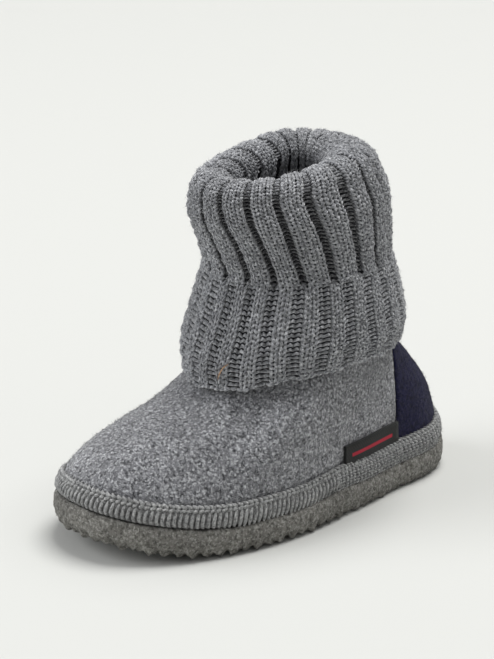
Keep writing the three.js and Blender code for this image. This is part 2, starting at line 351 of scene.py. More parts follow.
def bumpInto(tree, shader, height, distance, below=None):
    bump = tree.nodes.new("ShaderNodeBump")
    bump.inputs["Distance"].default_value = distance * mm
    bump.inputs["Strength"].default_value = 1
    tree.links.new(height, bump.inputs["Height"])
    if below is not None:
        tree.links.new(below, bump.inputs["Normal"])
    tree.links.new(bump.outputs["Normal"], shader.inputs["Normal"])
    return bump.outputs["Normal"]


def woolMaterial(name, look):
    material, tree, shader = newMaterial(name, look["roughness"], look["sheen"], 0.45)
    place = tree.nodes.new("ShaderNodeTexCoord").outputs["Object"]
    flecks = placeGroup(tree, heather, place, Base=(*look["base"], 1), Dark=(*look["dark"], 1),
                        Pale=(*look["pale"], 1), Fleck_Size=look["fleckSize"], Fleck_Amount=look["flecks"])
    color = flecks.outputs["Color"]
    if "paintedShadeDepths" in look:  # painted shade: the yarn's colour darkens where it dips between the stitches
        depth = tree.nodes.new("ShaderNodeAttribute")
        depth.attribute_name = "depth"
        share = rangeNode(tree, depth.outputs["Fac"], *look["paintedShadeDepths"])
        color = mixNode(tree, share, color, look["paintedShadeColor"])
    tree.links.new(color, shader.inputs["Base Color"])
    fibres = placeGroup(tree, nap, place, Fibre_Size=look["fibreSize"])
    felted = bumpInto(tree, shader, flecks.outputs["Height"], look["lumpHeight"])
    bumpInto(tree, shader, fibres.outputs["Height"], look["fibreHeight"], felted)
    return material


# Colours are linear; sizes are grains to the metre, heights millimetres. For the cuff yarn, a range
# of depths and a colour give painted shade: between these depths the yarn's colour darkens towards it, and
# how far.
wools = {
    "greyFelt": {"base": (0.262, 0.265, 0.283), "dark": (0.022, 0.023, 0.028), "pale": (0.82, 0.83, 0.86),
                 "fleckSize": 800.0, "flecks": 0.95, "fibreSize": 2200.0, "lumpHeight": 0.7,
                 "fibreHeight": 0.45, "roughness": 0.96, "sheen": 0.45},
    "navyFelt": {"base": (0.011, 0.011, 0.05), "dark": (0.004, 0.004, 0.012), "pale": (0.04, 0.038, 0.095),
                 "fleckSize": 700.0, "flecks": 0.7, "fibreSize": 2200.0, "lumpHeight": 0.9,
                 "fibreHeight": 0.45, "roughness": 0.96, "sheen": 0.06},
    "footbedFelt": {"base": (0.19, 0.195, 0.20), "dark": (0.08, 0.08, 0.085), "pale": (0.36, 0.37, 0.38),
                    "fleckSize": 600.0, "flecks": 0.7, "fibreSize": 2200.0, "lumpHeight": 0.6,
                    "fibreHeight": 0.3, "roughness": 0.97, "sheen": 0.3},
    "cuffYarn": {"base": (0.345, 0.353, 0.377), "dark": (0.05, 0.052, 0.062), "pale": (0.86, 0.87, 0.90),
                 "fleckSize": 760.0, "flecks": 0.85, "fibreSize": 2800.0, "lumpHeight": 0.5,
                 "fibreHeight": 0.3, "roughness": 0.94, "sheen": 1.0,
                 "paintedShadeDepths": (0.9, 3.3, 0.0, 0.95), "paintedShadeColor": (0.014, 0.014, 0.017)},
    # painted shade: the knitted ground under the yarn is coloured near black so the gaps between ribs and
    # stitches look shaded
    "paintedShadeGround": {"base": (0.05, 0.051, 0.056), "dark": (0.012, 0.012, 0.014), "pale": (0.10, 0.10, 0.11),
                   "fleckSize": 700.0, "flecks": 0.7, "fibreSize": 2600.0, "lumpHeight": 0.5,
                   "fibreHeight": 0.3, "roughness": 0.97, "sheen": 0.1},
    "randYarn": {"base": (0.38, 0.385, 0.385), "dark": (0.09, 0.09, 0.09), "pale": (0.74, 0.74, 0.73),
                 "fleckSize": 800.0, "flecks": 0.75, "fibreSize": 2600.0, "lumpHeight": 0.5,
                 "fibreHeight": 0.3, "roughness": 0.94, "sheen": 0.35},
    "randBand": {"base": (0.17, 0.17, 0.17), "dark": (0.04, 0.04, 0.04), "pale": (0.42, 0.42, 0.415),
                 "fleckSize": 700.0, "flecks": 0.7, "fibreSize": 2600.0, "lumpHeight": 0.6,
                 "fibreHeight": 0.3, "roughness": 0.96, "sheen": 0.1},
    "tanWool": {"base": (0.52, 0.33, 0.20), "dark": (0.36, 0.20, 0.11), "pale": (0.70, 0.50, 0.34),
                "fleckSize": 900.0, "flecks": 0.6, "fibreSize": 2600.0, "lumpHeight": 0.2,
                "fibreHeight": 0.15, "roughness": 0.94, "sheen": 0.3},
}
materials = {name: woolMaterial(name, look) for name, look in wools.items()}

latex = {"base": (0.27, 0.262, 0.24), "dark": (0.05, 0.048, 0.042), "pale": (0.62, 0.61, 0.575),
         "roughness": 0.78, "fleckSize": 720.0, "flecks": 0.7, "lumpHeight": 1.1,
         "specks": (1500.0, 2.0, 0.5), "speckRange": (0.66, 0.72, 0.0, 0.8), "speck": (0.62, 0.61, 0.58),
         "pits": (2600.0, 3.0, 0.7), "pitHeight": 0.35}

latexMaterial, tree, shader = newMaterial("speckledLatex", latex["roughness"])
place = tree.nodes.new("ShaderNodeTexCoord").outputs["Object"]
grains = placeGroup(tree, heather, place, Base=(*latex["base"], 1), Dark=(*latex["dark"], 1),
                    Pale=(*latex["pale"], 1), Fleck_Size=latex["fleckSize"], Fleck_Amount=latex["flecks"])
specks = rangeNode(tree, noiseNode(tree, place, *latex["specks"]), *latex["speckRange"])
speckled = mixNode(tree, specks, grains.outputs["Color"], latex["speck"])
tree.links.new(speckled, shader.inputs["Base Color"])
rough = bumpInto(tree, shader, grains.outputs["Height"], latex["lumpHeight"])
bumpInto(tree, shader, noiseNode(tree, place, *latex["pits"]), latex["pitHeight"], rough)
print("materials")


# The way round the rand, found on the CAD node; the sole, the felt and the stitches use it

# Millimetres, but the rays' start and reach are in metres.
rand = {
    "stations": 720, "levels": 7, "firstRay": 0.1, "rayStep": 0.25, "rayFrom": 0.2, "rayReach": 0.19,
    "rounding": 6,
    "height": 6.0, "pitch": 1.8, "radius": 0.55, "knitBehind": 8.0, "knitPitch": 1.9,
    "edge": (2.1, 0.48), "edgeHeights": (0.4, 2.5, 4.6), "edgeOut": (0.25, 0.25, 0.13),
    "ridge": (1.9, 0.5), "ridgeHeight": 6.5, "ridgeOut": 0.1, "band": (0.75, 2), "grain": (1.5, 0.35),
}

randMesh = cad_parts["rand"].data
randCorners = [vertex.co.copy() for vertex in randMesh.vertices]
randTree = BVHTree.FromPolygons(randCorners, [tuple(face.vertices) for face in randMesh.polygons])
randLow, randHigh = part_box("rand")
profiles = []
for station in range(rand["stations"]):
    turn = 2 * math.pi * station / rand["stations"]
    ray = Vector((-math.sin(turn), -math.cos(turn), 0))
    hits = []
    height = randLow.z + rand["firstRay"] * mm
    while height < randHigh.z:
        far = Vector((0, 0, height)) - ray * rand["rayFrom"]
        hit = randTree.ray_cast(far, ray, rand["rayReach"])[0]
        if hit is not None:
            hits.append(hit)
        height += rand["rayStep"] * mm
    picked = np.rint(np.linspace(0, len(hits) - 1, rand["levels"])).astype(int)
    profiles.append([tuple(hits[index]) for index in picked])
profiles = np.array(profiles) / mm
for _ in range(rand["rounding"]):
    profiles = 0.5 * profiles + 0.25 * (np.roll(profiles, 1, axis=0) + np.roll(profiles, -1, axis=0))
bottoms, tops = profiles[:, 0], profiles[:, -1]
steps = np.linalg.norm(np.roll(bottoms, -1, axis=0) - bottoms, axis=1)
lengthAt = np.concatenate([[0], np.cumsum(steps)])
randLength = lengthAt[-1]
along = np.roll(bottoms, -1, axis=0) - np.roll(bottoms, 1, axis=0)
outwards = np.stack([-along[:, 1], along[:, 0], 0 * along[:, 0]], axis=1)
outwards /= np.linalg.norm(outwards, axis=1)[:, None]
outwards *= np.sign((outwards[:, :2] * bottoms[:, :2]).sum(axis=1))[:, None]


def ontoRand(flat):  # flat millimetres: along the rand, up it and out of it
    station = np.interp(flat[:, 0] % randLength, lengthAt, np.arange(rand["stations"] + 1))
    first = np.floor(station).astype(int) % rand["stations"]
    second = (first + 1) % rand["stations"]
    between = (station - np.floor(station))[:, None]
    level = flat[:, 1] / rand["height"] * (rand["levels"] - 1)
    below = np.clip(np.floor(level), 0, rand["levels"] - 2).astype(int)
    up = (level - below)[:, None]
    low = profiles[first, below] * (1 - between) + profiles[second, below] * between
    high = profiles[first, below + 1] * (1 - between) + profiles[second, below + 1] * between
    out = outwards[first] * (1 - between) + outwards[second] * between
    out /= np.linalg.norm(out, axis=1)[:, None]
    return (low + (high - low) * up + out * flat[:, 2:3]) * mm


def alongRand(piece, pitch, start, stop):
    count = int((stop - start) / pitch)
    shifted(piece, (start + pitch / 2, 0, 0))
    repeat(piece, count, ((stop - start) / count, 0, 0))
    movePoints(piece, ontoRand(readPoints(piece)))


inFront = bottoms[:, 1] < rand["knitBehind"]
lateralChange = lengthAt[:-1][(bottoms[:, 0] > 0) & inFront].min()
medialChange = lengthAt[:-1][(bottoms[:, 0] < 0) & inFront].max()


# Felt: upper, heel panel and footbed

felt = {
    "voxel": 0.95, "smoothing": 6, "swell": (9.0, 0.9), "grain": (1.9, 0.3),
    "creases": [
        {"points": [(13, -20, 47), (15, -21.5, 42), (17, -23, 37)], "depth": 0.9, "width": 2.2},
        {"points": [(8, -25, 46), (5, -31, 42), (0, -37, 40)], "depth": 0.35, "width": 3.0},
        {"points": [(27, -6, 43), (28.5, -9, 36), (29.5, -12, 30)], "depth": 0.45, "width": 3.5},
        {"points": [(27, 12, 44), (27.5, 14, 38), (28, 18, 32)], "depth": 0.4, "width": 4.0},
        {"points": [(22, -24, 36), (26, -20, 31)], "depth": -0.35, "width": 4.0},
        {"points": [(-24, -10, 42), (-26, -8, 36), (-27, -8, 30)], "depth": 0.5, "width": 3.5},
        {"points": [(-24, 14, 44), (-26, 16, 36)], "depth": 0.4, "width": 4.0},
        {"points": [(-12, -28, 42), (-16, -32, 36)], "depth": 0.4, "width": 3.0},
    ],
    "lips": [  # a groove and a ridge along the top of the rand
        {"above": 1.2, "depth": 0.9, "width": 1.0},
        {"above": 3.2, "depth": -0.5, "width": 1.3},
    ],
}
navy = {"voxel": 0.72, "smoothing": 7, "swell": (7.0, 0.5), "grain": (1.6, 0.3)}
bed = {"voxel": 1.2, "smoothing": 3, "grain": (2.0, 0.35)}

lipLine = np.concatenate([tops[::6], tops[:1]])
for lip in felt["lips"]:
    line = lipLine + (0, 0, lip["above"])
    felt["creases"].append({"points": line, "depth": lip["depth"], "width": lip["width"]})
feltUpper = copyNode("upper", "felt_upper")
remeshed(feltUpper, felt["voxel"], felt["smoothing"])
creased(feltUpper, felt["creases"])
lumps(feltUpper, "feltSwell", *felt["swell"])
lumps(feltUpper, "feltGrain", *felt["grain"])
applyModifiers(feltUpper)
finish(feltUpper, materials["greyFelt"], "grey_felt", "upper")

navyPanel = copyNode("heel_panel", "navy_panel")
remeshed(navyPanel, navy["voxel"], navy["smoothing"])
lumps(navyPanel, "navySwell", *navy["swell"])
lumps(navyPanel, "navyGrain", *navy["grain"])
applyModifiers(navyPanel)
finish(navyPanel, materials["navyFelt"], "navy_felt", "heel_panel")

footbed = copyNode("insole", "felt_footbed")
remeshed(footbed, bed["voxel"], bed["smoothing"])
lumps(footbed, "footbedGrain", *bed["grain"])
applyModifiers(footbed)
finish(footbed, materials["footbedFelt"], "footbed_felt", "insole")


# Sole

sole = {"voxel": 0.75, "smoothing": 1, "coarse": (4.2, 0.8), "fine": (1.3, 0.6), "thickness": 9.5,
        "scallopPitch": 4.6, "scallopOut": 0.55, "scallopDown": 0.6, "scallopHeight": 2.6,
        "edgeFrom": 0.86, "edgeOver": 0.1, "uneven": 0.35, "unevenTurn": 0.83}

latexSole = copyNode("outsole", "latex_sole")
remeshed(latexSole, sole["voxel"], sole["smoothing"])
lumps(latexSole, "latexCoarse", *sole["coarse"])
lumps(latexSole, "latexFine", *sole["fine"])
applyModifiers(latexSole)
points = readPoints(latexSole) / mm
turn = np.arctan2(points[:, 0], points[:, 1]) % (2 * np.pi)
station = turn / (2 * np.pi) * rand["stations"]
stationPlaces = np.arange(rand["stations"] + 1)
edgeLength = np.interp(station, stationPlaces, lengthAt)
reach = np.linalg.norm(bottoms[:, :2], axis=1)
edgeReach = np.interp(station, stationPlaces, np.append(reach, reach[0]))
share = np.linalg.norm(points[:, :2], axis=1) / edgeReach
lowest = np.interp(station, stationPlaces, np.append(bottoms[:, 2], bottoms[0, 2])) - sole["thickness"]
near = smoothShare((share - sole["edgeFrom"]) / sole["edgeOver"])
near = near * np.exp(-((points[:, 2] - lowest) / sole["scallopHeight"]) ** 2)
wave = np.cos(2 * np.pi * edgeLength / sole["scallopPitch"])
wave = wave + sole["uneven"] * np.sin(sole["unevenTurn"] * edgeLength)
outward = points[:, :2] / np.linalg.norm(points[:, :2], axis=1)[:, None]
points[:, :2] += outward * (sole["scallopOut"] * wave * near)[:, None]
points[:, 2] -= sole["scallopDown"] * wave * near
points[:, 2] = np.maximum(points[:, 2], 0)  # the tread stays on the floor
movePoints(latexSole, points * mm)
finish(latexSole, latexMaterial, "sole_latex", "outsole")


# Label, left plain: a flat woven tape with one stripe

label = {"roughness": 0.7, "sheen": 0.1, "stripeAt": 0.5, "stripeWidth": 0.16, "from": 0.12, "to": 0.88,
         "dark": (0.007, 0.0075, 0.007), "pale": (0.02, 0.021, 0.02), "stripe": (0.42, 0.012, 0.035),
         "weave": 700.0, "weaveHeight": 0.12}

wovenLabel = copyNode("side_label", "woven_label")
selectOnly(wovenLabel)
bpy.ops.object.mode_set(mode="EDIT")
bpy.ops.mesh.select_all(action="SELECT")
bpy.ops.mesh.subdivide(number_cuts=2)
bpy.ops.object.mode_set(mode="OBJECT")
labelLow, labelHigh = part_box("side_label")
labelMaterial, tree, shader = newMaterial("wovenTape", label["roughness"], label["sheen"])
place = tree.nodes.new("ShaderNodeTexCoord").outputs["Object"]
mapping = tree.nodes.new("ShaderNodeMapping")
mapping.vector_type = "TEXTURE"
mapping.inputs["Location"].default_value = tuple(labelLow)
mapping.inputs["Scale"].default_value = tuple(labelHigh - labelLow)
tree.links.new(place, mapping.inputs["Vector"])
split = tree.nodes.new("ShaderNodeSeparateXYZ")
tree.links.new(mapping.outputs["Vector"], split.inputs[0])
offMiddle = mathNode(tree, "ABSOLUTE", mathNode(tree, "SUBTRACT", split.outputs["Z"], label["stripeAt"]))
across = mathNode(tree, "LESS_THAN", offMiddle, label["stripeWidth"] / 2)
pastStart = mathNode(tree, "GREATER_THAN", split.outputs["Y"], label["from"])
beforeEnd = mathNode(tree, "LESS_THAN", split.outputs["Y"], label["to"])
stripe = mathNode(tree, "MULTIPLY", across, mathNode(tree, "MULTIPLY", pastStart, beforeEnd))
weave = tree.nodes.new("ShaderNodeTexWave")
weave.bands_direction = "Z"
weave.inputs["Scale"].default_value = label["weave"]
tree.links.new(place, weave.inputs["Vector"])
tape = mixNode(tree, weave.outputs["Fac"], label["dark"], label["pale"])
tree.links.new(mixNode(tree, stripe, tape, label["stripe"]), shader.inputs["Base Color"])
bumpInto(tree, shader, weave.outputs["Fac"], label["weaveHeight"])
finish(wovenLabel, labelMaterial, "woven_tape", "side_label")
print("felt, sole and label")


# Yarn, modelled once as a flat stitch and then laid on a surface

def yarnStitch(name, path, radius, sides=5):  # a short bent yarn with thin ends, in flat millimetres
    bpy.ops.object.select_all(action="DESELECT")
    bpy.ops.mesh.primitive_cylinder_add(vertices=sides, radius=1, depth=2, location=(0, 0, 0))
    stitch = bpy.context.object
    stitch.name = name
    bpy.ops.object.mode_set(mode="EDIT")
    for cut in range(1, len(path) - 1):
        bpy.ops.mesh.select_all(action="SELECT")
        height = -1 + 2 * cut / (len(path) - 1)
        bpy.ops.mesh.bisect(plane_co=(0, 0, height), plane_no=(0, 0, 1))
    bpy.ops.object.mode_set(mode="OBJECT")
    spine = np.array([p[:3] for p in path], dtype=float)
    thick = np.array([p[3] for p in path], dtype=float)
    runs = np.gradient(spine, axis=0)
    runs /= np.linalg.norm(runs, axis=1)[:, None]
    points = readPoints(stitch)
    ring = np.rint((points[:, 2] + 1) / 2 * (len(path) - 1)).astype(int)
    side = np.cross(runs, (0, 0, 1.0))
    side /= np.linalg.norm(side, axis=1)[:, None]
    over = np.cross(side, runs)
    size = (radius * thick[ring])[:, None]
    moved = spine[ring] + size * (points[:, :1] * side[ring] + points[:, 1:2] * over[ring])
    movePoints(stitch, moved)
    bpy.ops.object.mode_set(mode="EDIT")
    bpy.ops.mesh.select_all(action="SELECT")
    bpy.ops.mesh.normals_make_consistent(inside=False)
    bpy.ops.object.mode_set(mode="OBJECT")
    return stitch


def repeat(piece, count, step):
    array = piece.modifiers.new("array", "ARRAY")
    array.count = count
    array.use_relative_offset = False
    array.use_constant_offset = True
    array.constant_offset_displace = step
    applyModifiers(piece)


def joined(name, parts):
    selectOnly(parts[0])
    for part in parts[1:]:
        part.select_set(True)
    bpy.ops.object.join()
    parts[0].name = name
    return parts[0]


# Cuff: one knitted tube, up the outside, over the fold and down the inside

cuff = {
    "middle": (0.358, 17.0), "depth": 70.0, "width": 60.0, "change": 81.0, "changeAt": 0.48,
    "hemBack": 53.0, "hemDrop": 6.5, "hemWaves": [(0.35, 9, 0), (0.25, 23, 1)],  # height, count, start
    "top": 120.0, "topDip": 4.5, "dipFrom": 0.6, "dipOver": 1.5, "foldRise": 7.0, "foldWidth": 15.0,
    "foldWiderBack": 6.0,
    "foot": 55.8, "layers": 9.0, "neckAt": 0.45, "neckLayers": 1.25,
    "outer": [  # share of the height, then front, back and side as shares of the half sizes
        (0.00, 1.24, 1.07, 1.03), (0.12, 1.26, 1.10, 1.08),
        (0.26, 1.15, 1.06, 1.04), (0.46, 1.00, 0.96, 0.97),
        (0.50, 0.97, 0.93, 0.94), (0.68, 1.07, 0.92, 0.95),
        (0.87, 1.20, 0.88, 0.95), (1.00, 1.20, 0.75, 0.87),
    ],
    "inner": (0.15, 0.3, 0.45, 0.72, 1.0),  # shares of the way down inside
    "rows": {"lower": 20, "upper": 22, "fold": 17, "inside": 34},
    "columnWidth": 2.0, "rowHeight": 1.6, "columns": 100, "rowStep": 0.5, "rounding": 6,
    "ribDepth": 2.9, "foldRibDepth": 1.1, "lowRibDepth": 0.75, "changeRows": 2.4, "foldRows": 5,
    "skin": 0.5, "ground": -0.75, "wall": 2.0, "lean": 0.11, "leanMostAt": 1.6, "leanShares": (0.65, 0.35),
    # waves over the knit: height, then radians a row, waves round the cuff and start
    "sway": 0.2, "swayWaves": [(1.0, 0.13, 5, 0), (0.5, 0.31, -7, 2)],
    "unevenness": 0.24, "unevenWaves": [(1.0, 2.2, 30, 0), (0.7, -1.3, 59, 0)],
}
# Each kind of rib: its wales, their width and yarn, the columns from one rib to the next, where its
# middle is in them, and how flat its top is.
ribs = {
    "lower": {"wales": 2, "wale": 2.25, "radius": 0.48, "step": 4, "middle": 1.0, "power": 2.6},
    "upper": {"wales": 3, "wale": 2.55, "radius": 0.50, "step": 5, "middle": 1.5, "power": 3.4},
}


def cuffRing(turn, front, back, side, height, inset):
    half = cuff["depth"] / 2
    along = np.where(np.cos(turn) > 0, back * half, front * half) - inset
    x = cuff["middle"][0] + (side * cuff["width"] / 2 - inset) * np.sin(turn)
    y = cuff["middle"][1] + along * np.cos(turn)
    return np.stack([x, y, height + 0 * turn], axis=1)


def cuffPath():  # rings from the hem to the inner foot, each with its place in rows
    turn = 2 * np.pi * np.arange(cuff["columns"] * 4) / (cuff["columns"] * 4)
    hem = cuff["hemBack"] - cuff["hemDrop"] * ((1 - np.cos(turn)) / 2) ** 5
    for height, count, start in cuff["hemWaves"]:
        hem = hem + height * np.sin(count * turn + start)
    dip = smoothShare((cuff["dipFrom"] - np.cos(turn)) / cuff["dipOver"])
    foldAt = cuff["top"] - cuff["foldRise"] - cuff["topDip"] * dip
    width = cuff["foldWidth"] + cuff["foldWiderBack"] * (1 + np.cos(turn)) / 2
    rows = []
    rings = []
    lower = cuff["rows"]["lower"]
    upper = cuff["rows"]["upper"]
    changeAt = cuff["changeAt"]
    for up, front, back, side in cuff["outer"]:
        if up < changeAt:
            rows.append(lower * up / changeAt)
            height = hem + (cuff["change"] - hem) * up / changeAt
        else:
            rows.append(lower + upper * (up - changeAt) / (1 - changeAt))
            height = cuff["change"] + (foldAt - cuff["change"]) * (up - changeAt) / (1 - changeAt)
        rings.append(cuffRing(turn, front, back, side, height, 0))
    top = cuff["outer"][-1][1:]
    low = cuff["outer"][3][1:]  # as wide as just under the change
    for degrees in range(20, 200, 20):  # over the fold
        angle = math.radians(degrees)
        rows.append(lower + upper + cuff["rows"]["fold"] * degrees / 180)
        height = foldAt + cuff["foldRise"] * math.sin(angle)
        rings.append(cuffRing(turn, *top, height, width * (1 - math.cos(angle)) / 2))
    start = cuff["top"] - cuff["foldRise"] - cuff["topDip"]
    neckAt = cuff["neckAt"]
    for down in cuff["inner"]:
        rows.append(lower + upper + cuff["rows"]["fold"] + cuff["rows"]["inside"] * down)
        fromTop = cuffRing(turn, *top, 0, width)
        neck = cuffRing(turn, *low, 0, cuff["neckLayers"] * cuff["layers"])
        end = cuffRing(turn, *low, 0, cuff["layers"])
        if down <= neckAt:
            ring = fromTop + (neck - fromTop) * smoothShare(down / neckAt)
        else:
            ring = neck + (end - neck) * smoothShare((down - neckAt) / (1 - neckAt))
        ring[:, 2] = start + (cuff["foot"] - start) * down
        rings.append(ring)
    return np.array(rows), np.array(rings)


knotRows, knotRings = cuffPath()
rowStep = cuff["rowStep"]
rowPlaces = np.arange(0, knotRows[-1] + rowStep / 2, rowStep)
cuffGrid = np.empty((len(rowPlaces), knotRings.shape[1], 3))
for column in range(knotRings.shape[1]):
    for axis in range(3):
        cuffGrid[:, column, axis] = np.interp(rowPlaces, knotRows, knotRings[:, column, axis])
for _ in range(cuff["rounding"]):  # round the corners between the rings
    cuffGrid[1:-1] = 0.25 * cuffGrid[:-2] + 0.5 * cuffGrid[1:-1] + 0.25 * cuffGrid[2:]
alongRows = np.gradient(cuffGrid, axis=0)
aroundRing = np.roll(cuffGrid, -1, axis=1) - np.roll(cuffGrid, 1, axis=1)
cuffNormals = np.cross(alongRows, aroundRing)
cuffNormals /= np.linalg.norm(cuffNormals, axis=2)[:, :, None]


def groove(kind, column):  # nought on a rib, minus one in a groove
    rib = ribs[kind]
    phase = np.abs(column % rib["step"] - rib["middle"])
    return -(np.minimum(phase, rib["step"] - phase) / (rib["step"] / 2)) ** rib["power"]


def ribShape(column, row):  # how far the knit stands off the top of its ribs, in millimetres
    pastChange = row - cuff["rows"]["lower"]
    above = smoothShare((pastChange + cuff["changeRows"] / 2) / cuff["changeRows"])
    overFold = smoothShare((pastChange - cuff["rows"]["upper"]) / cuff["foldRows"])
    depth = cuff["ribDepth"] + (cuff["foldRibDepth"] - cuff["ribDepth"]) * overFold
    upperGroove = groove("upper", column) * depth * above
    return upperGroove + groove("lower", column) * cuff["lowRibDepth"] * (1 - above)


def wavesOver(waves, row, phase):
    return sum(height * np.sin(up * row + around * phase + start) for height, up, around, start in waves)


def ontoCuff(flat):  # flat knitting in millimetres to its place on the cuff
    flatColumn = flat[:, 0] / cuff["columnWidth"]
    row = np.clip(flat[:, 1] / cuff["rowHeight"], 0, rowPlaces[-1] - 0.001)
    phase = 2 * np.pi * flatColumn / cuff["columns"]
    sway = wavesOver(cuff["swayWaves"], row, phase)
    above = np.clip(row - cuff["rows"]["lower"], 0, cuff["rows"]["upper"])
    least, more = cuff["leanShares"]
    lean = cuff["lean"] * (least + more * np.cos(phase - cuff["leanMostAt"]))
    column = flatColumn + cuff["sway"] * sway + lean * above
    uneven = wavesOver(cuff["unevenWaves"], row, phase)
    around = cuffGrid.shape[1]
    u = (column / cuff["columns"] * around) % around
    v = row / rowStep
    u0 = np.floor(u).astype(int) % around
    v0 = np.minimum(np.floor(v).astype(int), len(rowPlaces) - 2)
    u1 = (u0 + 1) % around
    v1 = v0 + 1
    fu = (u - np.floor(u))[:, None]
    fv = (v - v0)[:, None]

    def blend(grid):
        low = grid[v0, u0] * (1 - fu) + grid[v0, u1] * fu
        return low * (1 - fv) + (grid[v1, u0] * (1 - fu) + grid[v1, u1] * fu) * fv

    below = flat[:, 1] - np.clip(flat[:, 1], 0, None)  # what hangs under the hem
    normal = blend(cuffNormals)
    normal /= np.linalg.norm(normal, axis=1)[:, None]
    sunk = flat[:, 2] - cuff["skin"] + ribShape(flatColumn, row) + cuff["unevenness"] * (uneven - 1)
    place = blend(cuffGrid) + normal * sunk[:, None]
    place[:, 2] += below
    return place * mm, -sunk


def layOnCuff(piece):
    places, depths = ontoCuff(readPoints(piece))
    movePoints(piece, places)
    # The depth feeds the painted shade that darkens the yarn's colour where it dips between the stitches.
    depth = piece.data.attributes.new("depth", "FLOAT", "POINT")
    depth.data.foreach_set("value", depths.astype(np.float32))


# The ground is the knitted wall under the yarn; its near-black colour is painted shade in the gaps between
# the stitches and ribs
ground = {"around": 300, "rows": 84}

bpy.ops.object.select_all(action="DESELECT")
bpy.ops.mesh.primitive_grid_add(x_subdivisions=ground["around"], y_subdivisions=ground["rows"], size=2)
paintedShadeGround = bpy.context.object
paintedShadeGround.name = "cuff_ground"
flat = readPoints(paintedShadeGround)
flat[:, 0] = (flat[:, 0] + 1) / 2 * cuff["columns"] * cuff["columnWidth"]
flat[:, 1] = (flat[:, 1] + 1) / 2 * sum(cuff["rows"].values()) * cuff["rowHeight"]
flat[:, 2] = cuff["ground"]
movePoints(paintedShadeGround, ontoCuff(flat)[0])
bpy.ops.object.mode_set(mode="EDIT")
bpy.ops.mesh.select_all(action="SELECT")
bpy.ops.mesh.remove_doubles(threshold=mergeWithin / 2)
bpy.ops.mesh.normals_make_consistent(inside=False)
bpy.ops.object.mode_set(mode="OBJECT")
wall = paintedShadeGround.modifiers.new("wall", "SOLIDIFY")
wall.thickness = cuff["wall"] * mm
wall.offset = -1
applyModifiers(paintedShadeGround)
finish(paintedShadeGround, materials["paintedShadeGround"], "grey_knit", "knit_cuff")

# Each stitch is a path of (x, y, z, thickness) in millimetres, with the radius of its yarn. Column
# and row say where the first one lies, up how far above the knit.
legPath = [(0.14, -0.5, -1.0, 0.5), (0.40, 0.15, 0.0, 1.0), (0.80, 1.0, 0.05, 1.05),
           (1.0, 1.75, -0.9, 0.55)]
stitches = {
    "rungs": {"path": [(-1.9, -0.25, -0.8, 0.6), (-0.95, 0.4, 0.0, 1.05), (0, -0.3, -0.7, 0.8),
                       (0.95, 0.4, 0.0, 1.05), (1.9, -0.25, -0.8, 0.6)],
              "radius": 0.6, "column": 3, "row": 0.7, "up": 0},
    "beads": {"path": [(-0.85, 0, -0.5, 0.5), (-0.3, 0.25, 0.15, 1.0), (0.3, 0.25, 0.15, 1.0),
                       (0.85, 0, -0.5, 0.5)],
              "radius": 0.5, "column": 0, "row": cuff["rows"]["lower"] + 0.25, "up": 0.1},
    "hem": {"path": [(-1.0, -0.25, -0.7, 0.6), (-0.4, 0.1, 0.1, 1.0), (0.4, -0.1, 0.1, 1.0),
                     (1.0, -0.3, -0.7, 0.6)],
            "radius": 0.62, "column": 0, "row": -0.15 / cuff["rowHeight"], "up": 0},
    "stray_fibre": {"path": [(0, 0, -0.5, 0.4), (-0.6, 1.5, 0.1, 0.9), (-1.2, 2.9, 0.25, 1.0),
                             (-2.2, 4.3, 0.2, 0.9), (-3.2, 5.2, -0.5, 0.4)],
                    "radius": 0.24, "column": 45.5, "row": 2.0, "up": 0.8},
    "groove_rungs": {"path": [(-1.2, 0.0, -0.8, 0.6), (-0.4, 0.45, -0.3, 1.0), (0.4, 0.45, -0.3, 1.0),
                              (1.2, 0.0, -0.8, 0.6)],
                     "radius": 0.5, "column": 4, "row": cuff["rows"]["lower"] + 1.0, "up": 0},
}
starts = {"lower": 0.2, "upper": 0.6, "inside": -0.4}  # first rows of the ribs, past where each part begins


def waleStitch(name, wale, radius):  # one V: two legs that lean apart
    share = wale / ribs["upper"]["wale"]
    right = yarnStitch(name, [(x * share, y, z, size) for x, y, z, size in legPath], radius)
    left = yarnStitch(name + "Left", [(-x * share, y, z, size) for x, y, z, size in legPath], radius)
    return joined(name, [right, left])


def knitted(piece, rows, columns, columnStep):  # repeated up and round, then laid on the cuff
    if rows > 1:
        repeat(piece, rows, (0, cuff["rowHeight"], 0))
    if columns > 1:
        repeat(piece, columns, (columnStep * cuff["columnWidth"], 0, 0))
    layOnCuff(piece)
    return piece


def ribPatch(name, kind, firstRow, rows):
    rib = ribs[kind]
    patch = waleStitch(name, rib["wale"], rib["radius"])
    across = rib["middle"] * cuff["columnWidth"] - (rib["wales"] - 1) / 2 * rib["wale"]
    shifted(patch, (across, firstRow * cuff["rowHeight"], 0))
    repeat(patch, rib["wales"], (rib["wale"], 0, 0))
    return knitted(patch, rows, cuff["columns"] // rib["step"], rib["step"])


def stitchPatch(name, rows, columns, columnStep):
    stitch = stitches[name]
    patch = yarnStitch(name, stitch["path"], stitch["radius"])
    across = stitch["column"] * cuff["columnWidth"]
    shifted(patch, (across, stitch["row"] * cuff["rowHeight"], stitch["up"]))
    return knitted(patch, rows, columns, columnStep)


rows = cuff["rows"]
columns = cuff["columns"]
upperRows = rows["upper"] + rows["fold"] - 1
lowerStep = ribs["lower"]["step"]
upperStep = ribs["upper"]["step"]
cuffLower = ribPatch("cuff_yarn_lower", "lower", starts["lower"], rows["lower"])
rungs = stitchPatch("rungs", rows["lower"], columns // lowerStep, lowerStep)
beads = stitchPatch("beads", 1, columns, 1)
hem = stitchPatch("hem", 1, columns, 1)
cuffLower = joined("cuff_yarn_lower", [cuffLower, rungs, beads, hem])
finish(cuffLower, materials["cuffYarn"], "grey_knit")

# One stray tan fibre lies on the hem in front
strayFibre = stitchPatch("stray_fibre", 1, 1, 0)
finish(strayFibre, materials["tanWool"], "grey_knit")

